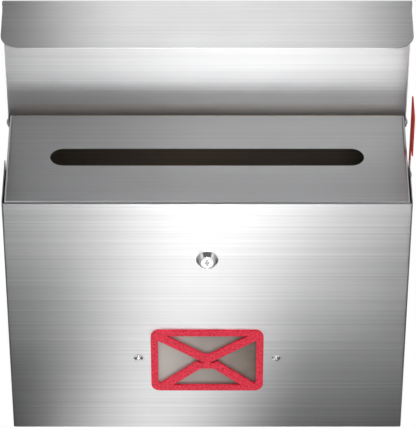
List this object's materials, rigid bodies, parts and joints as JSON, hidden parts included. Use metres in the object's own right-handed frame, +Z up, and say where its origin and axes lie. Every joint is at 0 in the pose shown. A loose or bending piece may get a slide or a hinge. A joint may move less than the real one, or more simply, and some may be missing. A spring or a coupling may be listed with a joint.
{
  "type": "wall mounted mailbox",
  "caption": "Wall mounted steel mailbox with a slotted top deck, hood lid, locking fold-down door, envelope shaped window and side flag.",
  "frame": {"origin": "centre of the four wall screw holes, on the wall's surface", "axes": "+X to the right seen from the front, +Y into the wall, +Z up"},
  "size_m": [0.3744, 0.1392, 0.4166],
  "materials": {
    "brushed_steel": "horizontally brushed stainless steel, satin",
    "galvanised": "plain mill finish stainless steel",
    "red_paint": "fine textured red powder coat",
    "chrome": "polished chrome",
    "zinc": "bright zinc plated steel",
    "clear_pane": "clear acrylic",
    "rubber": "black rubber",
    "nylon": "black nylon"
  },
  "bodies": {
    "root": {"body_shell": "brushed_steel", "back_pan": "galvanised", "shell_rivets": "zinc", "wall_spacers": "rubber", "lock_keeper": "galvanised", "door_bumpers": "rubber", "hinge_body_leaf": "zinc", "hinge_leaf_rivets": "zinc", "hinge_pin": "zinc", "lid_pivot_pins": "zinc", "lid_pivot_washers": "nylon", "lid_pivot_clips": "zinc", "flag_bush": "nylon", "flag_spring_washer": "zinc", "flag_screw": "chrome", "flag_inner_washer": "zinc", "flag_nut": "zinc"},
    "door": {"front_door": "brushed_steel", "hinge_door_leaf": "zinc", "envelope_frame": "red_paint", "window_pane": "clear_pane", "window_screws": "chrome", "window_washers": "zinc", "window_nuts": "zinc", "lock_barrel": "chrome", "lock_washer": "zinc", "lock_nut": "zinc"},
    "lock": {"lock_plug": "chrome", "lock_cam": "zinc", "cam_screw": "zinc"},
    "lid": {"lid": "brushed_steel"},
    "flag": {"flag": "red_paint"}
  },
  "joints": [
    {"name": "lid_hinge", "type": "hinge", "parent": "root", "child": "lid", "pos_m": [0, -0.013, 0.1362], "axis": [1, 0, 0], "range_deg": [0, 88]},
    {"name": "door_hinge", "type": "hinge", "parent": "root", "child": "door", "pos_m": [0, -0.13085, -0.13905], "axis": [1, 0, 0], "range_deg": [0, 90]},
    {"name": "lock_turn", "type": "hinge", "parent": "door", "child": "lock", "pos_m": [0, -0.1344, 0.0734], "axis": [0, -1, 0], "range_deg": [0, 90]},
    {"name": "flag_swing", "type": "hinge", "parent": "root", "child": "flag", "pos_m": [0.1859, -0.0604, 0.1122], "axis": [1, 0, 0], "range_deg": [0, 90]}
  ]
}
